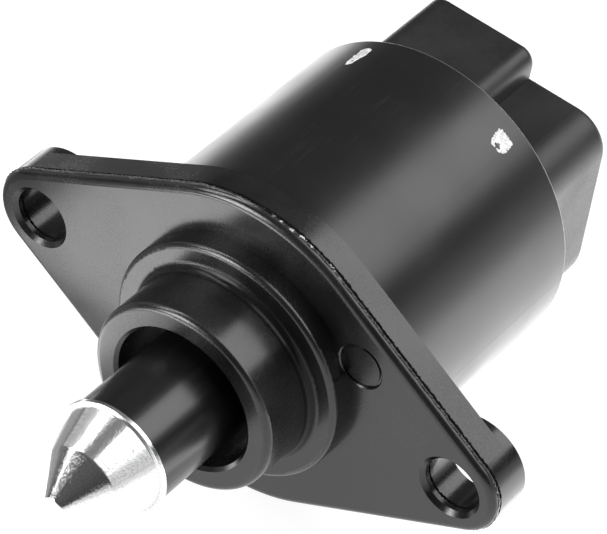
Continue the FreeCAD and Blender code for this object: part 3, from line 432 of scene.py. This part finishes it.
def sewn_grid(name, points, loop_rows, loop_columns, body, material):
    """A piece over a grid of points, each joined to its neighbours in its row and column, and round the
    end where that way is a loop. Points that fall together are made one, and the faces are turned
    outward."""
    rows, columns = points.shape[:2]
    number = np.arange(rows * columns).reshape(rows, columns)
    if loop_rows:
        number = np.vstack([number, number[:1]])
    if loop_columns:
        number = np.hstack([number, number[:, :1]])
    corners = (number[:-1, :-1], number[:-1, 1:], number[1:, 1:], number[1:, :-1])
    faces = np.stack(corners, -1).reshape(-1, 4)
    mesh = bpy.data.meshes.new(name)
    mesh.from_pydata(points.reshape(-1, 3).tolist(), [], faces.tolist())
    shell = bmesh.new()
    shell.from_mesh(mesh)
    bmesh.ops.remove_doubles(shell, verts=shell.verts, dist=SAME_POINT)
    bmesh.ops.recalc_face_normals(shell, faces=shell.faces)
    shell.to_mesh(mesh)
    shell.free()
    mesh.polygons.foreach_set("use_smooth", np.ones(len(mesh.polygons), bool))
    mesh.materials.append(material)
    piece = bpy.data.objects.new(name, mesh)
    bpy.context.scene.collection.objects.link(piece)
    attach(piece, body)
    return piece


def parting_flash(material):
    """A thread of flash: a rounded ridge section carried along the flange's outline. Its height, its
    rear edge and its place wander by smooth noise, and it never leaves the flange's own box."""
    point, normal = flange_outline(FLASH_STEP)
    count = len(point)
    height = FLASH_HEIGHT * wander(count, swing=0.5, lumps=500, seed=3, least=0.15, most=2.2)
    rear = FLASH_WIDTH * wander(count, swing=0.30, lumps=650, seed=5, least=0.5, most=1.8)
    place = FLASH_PLACE + FLASH_DRIFT * smooth_noise(count, lumps=90, seed=7)
    along, out = FLASH_SECTION[:, 0], FLASH_SECTION[:, 1]
    y = place[:, None] + np.where(along > 0, along * rear[:, None], along * FLASH_WIDTH)
    lift = np.where(out > 0, out * height[:, None], out * FLASH_HEIGHT)
    x = np.clip(point[:, 0, None] + normal[:, 0, None] * lift, cad_box[0].x, cad_box[1].x)
    z = np.clip(point[:, 1, None] + normal[:, 1, None] * lift, cad_box[0].z, cad_box[1].z)
    sewn_grid("parting_flash", np.stack([x, y, z], -1), True, True, "housing",
              material)


# Painted glints: white flecks in the flash's colour near the top of the lobe stand in for highlights of
# the lamps.
glint_flash, tree, shader = finish("glinting_flash", HOUSING_GREY, FLASH_ROUGH, ior=MOULDING_IOR)
flecks = spread(tree, grain(tree, FLECK_SIZE, detail=3.0), 0.0, 1.0, *FLECK_CUT)
glint_patch = spread(tree, off_axis(tree, GLINT_X, GLINT_Z), 1.0, FLECK_FEW, *GLINT_REACH)
wire(tree, shader,
     Base_Color=tint(tree, calc(tree, "MULTIPLY", flecks, glint_patch), HOUSING_GREY, GLINT_WHITE))
parting_flash(glint_flash)


# Seal ring: moulded rubber cord in the housing's groove, where the can presses it down. It is dull,
# with a bloom of wax on it.
RUBBER = (0.018, 0.018, 0.018)
RUBBER_BLOOM = (0.05, 0.05, 0.052)


def mottle(tree, shader, noise, low, high, rough, height, depth, cut=(0.35, 0.65)):
    """Takes the colour from low to high and the roughness over a pair of its own as the noise rises,
    and lifts the surface by a height, which may be that noise or another, times a depth."""
    wire(tree, shader, Base_Color=tint(tree, spread(tree, noise, 0.0, 1.0, *cut), low, high),
         Roughness=spread(tree, noise, *rough), Normal=relief(tree, height, depth))


seal_rubber, tree, shader = finish("seal_rubber", RUBBER, 0.6)
mottle(tree, shader, grain(tree, 0.0012, detail=4.0), RUBBER, RUBBER_BLOOM, rough=(0.5, 0.75),
       height=grain(tree, 0.00008), depth=0.000003, cut=(0.45, 0.75))
dress(seal_rubber, "seal_ring")


# Front end plate and pole plates: cold rolled steel sheet, pressed and left bright, with the rolling's
# fine lines and a few stains of oil.
SHEET_STEEL = (0.60, 0.61, 0.62)
SHEET_STAIN = (0.42, 0.42, 0.41)
STAIN_MOST = 0.7

pressed_steel, tree, shader = finish("pressed_steel", SHEET_STEEL, 0.35, metallic=1.0)
rolling = grain(tree, 0.00008, stretch=(60, 1, 1), detail=3.0)
stain = spread(tree, grain(tree, 0.004, detail=4.0), 0.0, STAIN_MOST, 0.5, 0.8)
wire(tree, shader, Base_Color=tint(tree, stain, SHEET_STEEL, SHEET_STAIN),
     Roughness=spread(tree, rolling, 0.28, 0.45), Normal=relief(tree, rolling, 0.000002))
dress(pressed_steel, "front_end_plate", "front_outer_pole_plate", "front_inner_pole_plate",
      "rear_inner_pole_plate", "rear_outer_pole_plate")


# Ball bearing, its spring washer and the drive screw: hardened steel, ground bright, with the grinding's
# fine rings round the axis.
GROUND_STEEL = (0.72, 0.72, 0.73)
GROUND_SHADE = (0.60, 0.60, 0.62)

bearing_steel, tree, shader = finish("bearing_steel", GROUND_STEEL, 0.2, metallic=1.0)
rings = grain(tree, 0.00006, stretch=(80, 1, 80), detail=3.0)
mottle(tree, shader, rings, GROUND_STEEL, GROUND_SHADE, rough=(0.14, 0.3), height=rings,
       depth=0.000001)
dress(bearing_steel, "preload_washer", "bearing_outer_ring", "bearing_inner_ring", "bearing_balls",
      "drive_screw")


# Bearing cage and rotor hub: natural moulded nylon, cream and a little cloudy, and light goes a short
# way into it.
NYLON = (0.80, 0.77, 0.68)
NYLON_CLOUD = (0.70, 0.66, 0.55)
NYLON_GLOW = 0.1
NYLON_GLOW_DEPTH = 0.0005

cage_moulding, tree, shader = finish("cage_moulding", NYLON, 0.45)
shader.inputs["Subsurface Weight"].default_value = NYLON_GLOW
shader.inputs["Subsurface Scale"].default_value = NYLON_GLOW_DEPTH
mottle(tree, shader, grain(tree, 0.003, detail=4.0), NYLON, NYLON_CLOUD, rough=(0.38, 0.52),
       height=grain(tree, 0.0001), depth=0.000002)
dress(cage_moulding, "bearing_cage", "rotor_hub")


# Rotor magnet: a sintered ferrite ring, glued on the hub. It is grey-black, ground on the outside, with
# fine open pores.
FERRITE = (0.075, 0.075, 0.08)
FERRITE_PORE = (0.03, 0.03, 0.032)

ferrite, tree, shader = finish("ferrite", FERRITE, 0.55)
pores = grain(tree, 0.00012, detail=4.0)
mottle(tree, shader, pores, FERRITE_PORE, FERRITE, rough=(0.7, 0.45), height=pores, depth=0.000006,
       cut=(0.3, 0.5))
dress(ferrite, "rotor_magnet")


# Coil formers: natural moulded polyester, cream, smoother than nylon. Each holds one winding between
# its two cheeks.
FORMER = (0.75, 0.72, 0.62)
FORMER_FLOW = (0.66, 0.62, 0.50)

coil_former_moulding, tree, shader = finish("coil_former_moulding", FORMER, 0.4)
mottle(tree, shader, grain(tree, 0.004, stretch=(1, 3, 1), detail=4.0), FORMER, FORMER_FLOW,
       rough=(0.34, 0.46), height=grain(tree, 0.00015), depth=0.000002)
dress(coil_former_moulding, "front_coil_former", "rear_coil_former")


# Coil windings: some hundreds of turns of enamelled copper wire in even layers. The outer layer's
# wires are modelled, in place of the plain copper ring.
COPPER = (0.66, 0.33, 0.16)
COPPER_DARK = (0.45, 0.19, 0.08)
ENAMEL_COAT = 0.6
ENAMEL_ROUGH = 0.15
WINDING_BORE = 0.01209
WIRE_PITCH = 0.00026
WIRE_COLUMNS = 160
WIRE_POINTS = 8

copper_winding, tree, shader = finish("copper_winding", COPPER, 0.25, metallic=0.85)
shader.inputs["Coat Weight"].default_value = ENAMEL_COAT
shader.inputs["Coat Roughness"].default_value = ENAMEL_ROUGH
lay = grain(tree, 0.0002, stretch=(12, 1, 12), detail=3.0)
wire(tree, shader, Base_Color=tint(tree, spread(tree, lay, 0.0, 1.0), COPPER, COPPER_DARK),
     Roughness=spread(tree, lay, 0.2, 0.35))


def turned_piece(name, profile, columns, closed, body, material):
    """A profile of radius and place along Y, carried once round the axis; a closed one is a loop, and
    another one begins and ends on the axis."""
    turn = np.linspace(0, 2 * np.pi, columns, endpoint=False)
    radius, y = profile[:, 0, None], profile[:, 1, None]
    points = np.stack([radius * np.cos(turn), y + 0 * turn, radius * np.sin(turn)], -1)
    return sewn_grid(name, points, closed, True, body, material)


def wound_coil(node):
    """The winding's own box as a closed ring whose outside is a row of wires: the outer radius dips
    between wires by half a pitch times one less the root of one less the square of the distance across
    the wire, which runs from -1 to 1."""
    low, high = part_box(node)
    outer = (high.x - low.x) / 2
    turns = round((high.y - low.y) / WIRE_PITCH)
    pitch = (high.y - low.y) / turns
    along = np.linspace(0, 1, turns * WIRE_POINTS + 1)
    across = 2 * ((along * turns) % 1.0) - 1
    dip = pitch / 2 * (1 - np.sqrt(np.clip(1 - across**2, 0, 1)))
    top = np.stack([outer - dip, low.y + along * (high.y - low.y)], -1)
    section = np.vstack([[(WINDING_BORE, low.y)], top, [(WINDING_BORE, high.y)]])
    coil = turned_piece(node + "_wires", section, WIRE_COLUMNS, True, "housing",
                        copper_winding)
    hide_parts(node)


wound_coil("front_coil_winding")
wound_coil("rear_coil_winding")


# Rear bush: sintered bronze, pressed into the rear cover. It is dull gold and porous, dark where oil has
# soaked in.
BRONZE = (0.62, 0.45, 0.26)
BRONZE_OILED = (0.36, 0.24, 0.13)

sintered_bronze, tree, shader = finish("sintered_bronze", BRONZE, 0.5, metallic=0.9)
bronze_pores = grain(tree, 0.0001, detail=4.0)
mottle(tree, shader, bronze_pores, BRONZE_OILED, BRONZE, rough=(0.65, 0.4), height=bronze_pores,
       depth=0.000005)
dress(sintered_bronze, "rear_bush")


# Rear cover with the plug socket: one moulding of the same black nylon, held in the can by the stakes.
# Its mould was left rougher, so it is more matt than the housing.
COVER_ROUGH = 0.45

dress(moulded_black("matt_moulding", HOUSING_BLACK, HOUSING_GREY, COVER_ROUGH), "connector_cover")


# Contact blades: strips of tinned brass, moulded into the cover, with the dull sheen of hot tin.
TIN = (0.76, 0.76, 0.74)
TIN_DULL = (0.62, 0.62, 0.60)

tinned_brass, tree, shader = finish("tinned_brass", TIN, 0.28, metallic=1.0)
tin_flow = grain(tree, 0.0012, stretch=(1, 4, 1), detail=4.0)
mottle(tree, shader, tin_flow, TIN, TIN_DULL, rough=(0.2, 0.38), height=tin_flow, depth=0.000004)
dress(tinned_brass, "contact_blade_1", "contact_blade_2", "contact_blade_3", "contact_blade_4")


# Motor can: deep-drawn steel with a smooth black coat. It is finely scuffed along and round, and the
# coat has worn off the rear rim, so that the bare steel shows there as a thin line.
CAN_BLACK = (0.006, 0.006, 0.0063)
CAN_SCUFF = (0.022, 0.022, 0.023)
CAN_STEEL = (0.48, 0.48, 0.49)
CAN_REAR = 0.0304
CAN_RADIUS = 0.0172
CAN_ROUGH = (0.29, 0.35)
COAT_DEPTH = 0.0000012
DRAWN_CUT = (0.60, 0.74)
PATCH_CUT = (0.45, 0.6)
RUBBED_CUT = (0.64, 0.76)
RUBBED_MOST = 0.6
SCUFF_MATT = 0.08
SCUFF_DEPTH = 0.0000009
RIM_WEAR = 0.00022
RIM_CUT = (0.38, 0.6)
RIM_SHOWS = (0.55, 0.95)

black_can, tree, shader = finish("black_can", CAN_BLACK, 0.28, ior=MOULDING_IOR)
drawn = grain(tree, 0.00012, stretch=(1, 50, 1), detail=3.0)
rubbed = grain(tree, 0.00009, stretch=(35, 1, 35), detail=2.0)
patches = grain(tree, 0.009, detail=5.0)
scuffs = calc(tree, "MULTIPLY", spread(tree, drawn, 0.0, 1.0, *DRAWN_CUT),
              spread(tree, patches, 0.0, 1.0, *PATCH_CUT))
scuffs = calc(tree, "MAXIMUM", scuffs, spread(tree, rubbed, 0.0, RUBBED_MOST, *RUBBED_CUT))
rim = calc(tree, "MULTIPLY",
           spread(tree, along_axis(tree), 0.0, 1.0, CAN_REAR - RIM_WEAR, CAN_REAR - RIM_WEAR / 2),
           spread(tree, off_axis(tree), 0.0, 1.0, CAN_RADIUS - RIM_WEAR, CAN_RADIUS - RIM_WEAR / 2))
rim = calc(tree, "MULTIPLY", rim, spread(tree, grain(tree, 0.0007), *RIM_SHOWS, *RIM_CUT))
coat = tint(tree, scuffs, CAN_BLACK, CAN_SCUFF)
can_gloss = calc(tree, "ADD", spread(tree, patches, *CAN_ROUGH),
                 spread(tree, scuffs, 0.0, SCUFF_MATT, 0.0, 1.0))
coat_skin = relief(tree, grain(tree, 0.00035, detail=3.0), COAT_DEPTH)
wire(tree, shader, Base_Color=tint(tree, rim, coat, CAN_STEEL), Metallic=rim, Roughness=can_gloss,
     Normal=relief(tree, scuffs, SCUFF_DEPTH, under=coat_skin))
dress(black_can, "motor_can")


# Stake marks: a punch drove the can's wall into the cover at four places. It tore the coat there, so
# bare steel shows, smeared over the dent, with a burr at its edge and a pit where the punch's tip was.
SCAR_STEEL = (0.95, 0.95, 0.94)
SCAR_SHADE = (0.70, 0.70, 0.70)
SCAR_RINGS = 40
SCAR_COLUMNS = 160
SCAR_RAGGED = 0.045
EDGE_LUMPS = 22
SKIN_LUMPS = 30
BURR_LUMPS = 20
SCAR_LIFT = 0.00001
SCAR_TUCK = -0.00003
SCAR_ROUGH = 0.00005
SCAR_FOOT = 0.0003
SCAR_WALL = 0.00005
SCAR_TAPER = 0.9
BURR_HEIGHT = 0.00006
BURR_PLACE = 0.86
BURR_SPREAD = 0.10
BURR_RAGGED = 0.5
PIT_FLAT = 1.2

torn_steel, tree, shader = finish("torn_steel", SCAR_STEEL, 0.35, metallic=0.5)
tear = grain(tree, 0.00016, stretch=(1, 2, 1), detail=4.0)
mottle(tree, shader, tear, SCAR_SHADE, SCAR_STEEL, rough=(0.5, 0.4), height=tear, depth=0.000006)


def stake_scar(name, angle, place, half_round, half_along, flare, lean, pit, seed):
    """A patch on the can, at an angle round it and a place along it. Its edge is a rounded oblong, one
    over the fourth root of the added fourth powers of cosine and sine, made ragged by smooth noise,
    wider to the rear by flare and sheared by lean. Its height above the can is a bell-shaped burr near
    the edge, noise inside, and less a pit, which shallows with the added distances along and round
    from its middle; pit gives that middle, its reach and its depth. Below, it closes inside the wall."""
    turn = np.linspace(0, 2 * np.pi, SCAR_COLUMNS, endpoint=False)
    edge = 1 / ((np.abs(np.cos(turn)) ** 4 + np.abs(np.sin(turn)) ** 4) ** 0.25)
    edge = edge * (1 + SCAR_RAGGED * smooth_noise(SCAR_COLUMNS, EDGE_LUMPS, seed))
    share = np.linspace(0, 1, SCAR_RINGS)[:, None]
    along = share * edge * np.sin(turn) * half_along
    across = share * edge * np.cos(turn) * half_round * (1 + flare * along / half_along) + lean * along
    rough = smooth_noise(SCAR_COLUMNS, SKIN_LUMPS, seed + 1) * share * (1 - share) * SCAR_ROUGH
    burr = BURR_HEIGHT * np.exp(-((share - BURR_PLACE) / BURR_SPREAD) ** 2)
    burr = burr * (1 + BURR_RAGGED * smooth_noise(SCAR_COLUMNS, BURR_LUMPS, seed + 2))
    far = np.abs(along - pit[0]) / pit[2] + np.abs(across - pit[1]) / pit[2]
    sunk = pit[3] * np.clip(PIT_FLAT - far, 0, 1)
    top = np.where(share < 1, burr + rough - sunk + SCAR_LIFT, SCAR_TUCK)
    along = np.vstack([along, along[::-1]])
    across = np.vstack([across, across[::-1] * SCAR_TAPER])
    radius = CAN_RADIUS + np.vstack([top, np.minimum(-SCAR_FOOT, top[::-1] - SCAR_WALL)])
    bearing = math.radians(angle) - across / CAN_RADIUS
    points = np.stack([radius * np.cos(bearing), place + along, radius * np.sin(bearing)], -1)
    sewn_grid(name, points, False, True, "housing", torn_steel)


stake_scar("stake_scar_1", 60, 0.0274, half_round=0.00104, half_along=0.00112, flare=0.05,
           lean=-0.10, pit=(-0.00070, 0.00005, 0.00036, 0.00060), seed=11)
stake_scar("stake_scar_2", 120, 0.0271, half_round=0.00052, half_along=0.00165, flare=0.30,
           lean=0.10, pit=(-0.0009, 0.0, 0.00020, 0.00006), seed=21)
stake_scar("stake_scar_3", 240, 0.0272, half_round=0.00075, half_along=0.00130, flare=0.15,
           lean=0.08, pit=(-0.0005, 0.0, 0.0003, 0.00030), seed=31)
stake_scar("stake_scar_4", 300, 0.0272, half_round=0.00065, half_along=0.00140, flare=0.20,
           lean=-0.05, pit=(-0.0005, 0.0, 0.0003, 0.00025), seed=41)


# Plunger: a sleeve moulded in satin black plastic. It slides in the spigot's bore, which has polished
# it along its length.
PLUNGER_BLACK = (0.006, 0.006, 0.0063)
PLUNGER_RUB = (0.011, 0.011, 0.0115)

plunger_moulding, tree, shader = finish("plunger_moulding", PLUNGER_BLACK, 0.24, ior=MOULDING_IOR)
mottle(tree, shader, grain(tree, 0.00015, stretch=(1, 40, 1), detail=3.0), PLUNGER_BLACK,
       PLUNGER_RUB, rough=(0.23, 0.27), height=grain(tree, 0.0004, detail=3.0), depth=0.0000015,
       cut=(0.5, 0.75))
dress(plunger_moulding, "plunger")


# Plunger nut: turned brass, moulded into the plunger's rear end, with the fine rings that the tool left.
BRASS = (0.80, 0.64, 0.34)
BRASS_DULL = (0.62, 0.47, 0.22)

brass_nut, tree, shader = finish("brass_nut", BRASS, 0.25, metallic=1.0)
brass_rings = grain(tree, 0.00008, stretch=(60, 1, 60), detail=3.0)
mottle(tree, shader, brass_rings, BRASS, BRASS_DULL, rough=(0.18, 0.34), height=brass_rings,
       depth=0.000002)
dress(brass_nut, "plunger_nut")


# Pintle tip: turned from bar and polished by hand, so that its surface waves a little and has fine pits.
# A lip with two grooves and two cones; its stem is pressed into the plunger. Modelled anew for its worn,
# rounded edges, in place of the sharp CAD solid.
TIP_BRIGHT = (0.91, 0.91, 0.915)
TIP_SHADE = (0.84, 0.84, 0.85)
TIP_PITTED = (0.74, 0.74, 0.745)
TIP_ROUGH = (0.07, 0.15)
TIP_WAVE = 0.000010
TIP_RING = 0.0000012
PIT_DEPTH = 0.0000042
PIT_CUT = (0.50, 0.68)
PIT_SHADE_CUT = (0.48, 0.66)
PIT_MATT_CUT = (0.5, 0.75)
PIT_MATT = 0.10
TIP_CORNERS = np.array([
    (0.0, -0.0159), (0.0016, -0.0159), (0.0016, -0.0189), (0.00628, -0.0189), (0.00628, -0.01935),
    (0.00606, -0.01935), (0.00602, -0.01929), (0.00598, -0.01935), (0.00586, -0.01935),
    (0.00581, -0.01925), (0.00575, -0.01935), (0.0042, -0.0237), (0.00115, -0.02775), (0.0, -0.02775),
])
TIP_ROUNDS = np.array([
    0.0, 0.0002, 0.0, 0.00005, 0.00010, 0.00002, 0.00002, 0.00002, 0.00002, 0.00003, 0.00005, 0.00012,
    0.00018, 0.0,
])
TIP_STEP = 0.00007
TIP_COLUMNS = 192
ROUND_POINTS = 9
END_POINTS = 6

polished_tip, tree, shader = finish("polished_tip", TIP_BRIGHT, 0.12, metallic=1.0)
turned = grain(tree, 0.00005, stretch=(60, 1, 60), detail=3.0)
specks = grain(tree, 0.00015, detail=4.0)
tip_colour = tint(tree, spread(tree, turned, 0.0, 1.0), TIP_BRIGHT, TIP_SHADE)
tip_colour = tint(tree, spread(tree, specks, 0.0, 1.0, *PIT_SHADE_CUT), tip_colour, TIP_PITTED)
tip_gloss = calc(tree, "ADD", spread(tree, turned, *TIP_ROUGH),
                 spread(tree, specks, 0.0, PIT_MATT, *PIT_MATT_CUT))
tip_skin = relief(tree, grain(tree, 0.0009, detail=4.0), TIP_WAVE)
tip_skin = relief(tree, spread(tree, specks, 0.0, 1.0, *PIT_CUT), PIT_DEPTH, under=tip_skin)
wire(tree, shader, Base_Color=tip_colour, Roughness=tip_gloss,
     Normal=relief(tree, turned, TIP_RING, under=tip_skin))


def rounded_profile(corners, cuts, step):
    """Straight runs between corners, with each corner cut back by its own length on both sides and the
    gap closed by a parabola: the squares of the two shares weigh its ends, and twice their product
    weighs the corner."""
    ahead = corners[1:] - corners[:-1]
    ahead = ahead / np.hypot(ahead[:, 0], ahead[:, 1])[:, None]
    share = np.linspace(0, 1, ROUND_POINTS)[:, None]
    path = [corners[:1]]
    for index in range(1, len(corners) - 1):
        enter = corners[index] - cuts[index] * ahead[index - 1]
        leave = corners[index] + cuts[index] * ahead[index]
        points = max(2, int(np.hypot(*(enter - path[-1][-1])) / step))
        path.append(np.linspace(path[-1][-1], enter, points)[1:])
        if cuts[index] > 0:
            path.append(((1 - share)**2 * enter + 2 * share * (1 - share) * corners[index]
                         + share**2 * leave)[1:])
    path.append(np.linspace(path[-1][-1], corners[-1], END_POINTS)[1:])
    return np.vstack(path)


tip = turned_piece("turned_tip", rounded_profile(TIP_CORNERS, TIP_ROUNDS, TIP_STEP), TIP_COLUMNS,
                   False, "pintle", polished_tip)
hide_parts("pintle_tip")
